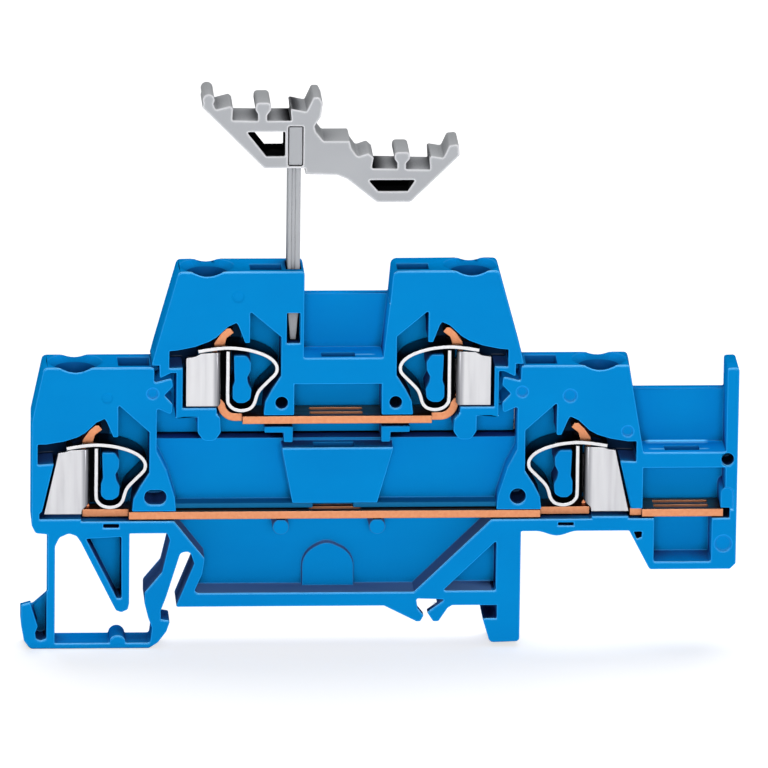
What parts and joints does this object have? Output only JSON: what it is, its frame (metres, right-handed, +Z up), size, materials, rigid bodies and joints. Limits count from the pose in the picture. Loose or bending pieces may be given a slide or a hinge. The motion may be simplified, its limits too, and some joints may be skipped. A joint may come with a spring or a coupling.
{
  "type": "double-level terminal block",
  "caption": "Double-level spring-clamp terminal block for a 35 mm mounting rail, open on one side, with copper current bars, jumper bays and a plug-in marker carrier.",
  "frame": {"origin": "middle of the 35 mm mounting seat, on the seat plane, at half the block's thickness", "axes": "+X along the block towards the jumper extension, +Y through the thickness away from the open side and along the mounting rail, +Z up away from the mounting rail"},
  "size_m": [0.0745, 0.005, 0.06],
  "materials": {
    "blue_plastic": "satin moulded",
    "copper": "bare copper, sheared edges",
    "spring_steel": "bright strip",
    "plated_sheet": "bright plated",
    "grey_plastic": "satin moulded"
  },
  "bodies": {
    "block": {"lower_housing": "blue_plastic", "upper_housing": "blue_plastic", "lower_current_bar": "copper", "upper_current_bar": "copper", "clamp_spring_lower_left": "spring_steel", "clamp_spring_lower_right": "spring_steel", "clamp_spring_upper_left": "spring_steel", "clamp_spring_upper_right": "spring_steel", "conductor_guide_lower_left": "plated_sheet", "conductor_guide_lower_right": "plated_sheet", "conductor_guide_upper_left": "plated_sheet", "conductor_guide_upper_right": "plated_sheet"},
    "marker": {"marker_carrier": "grey_plastic"}
  },
  "joints": [
    {"name": "marker_slide", "type": "slide", "parent": "block", "child": "marker", "axis": [0, 0, 1], "range_m": [0, 0.007]}
  ]
}
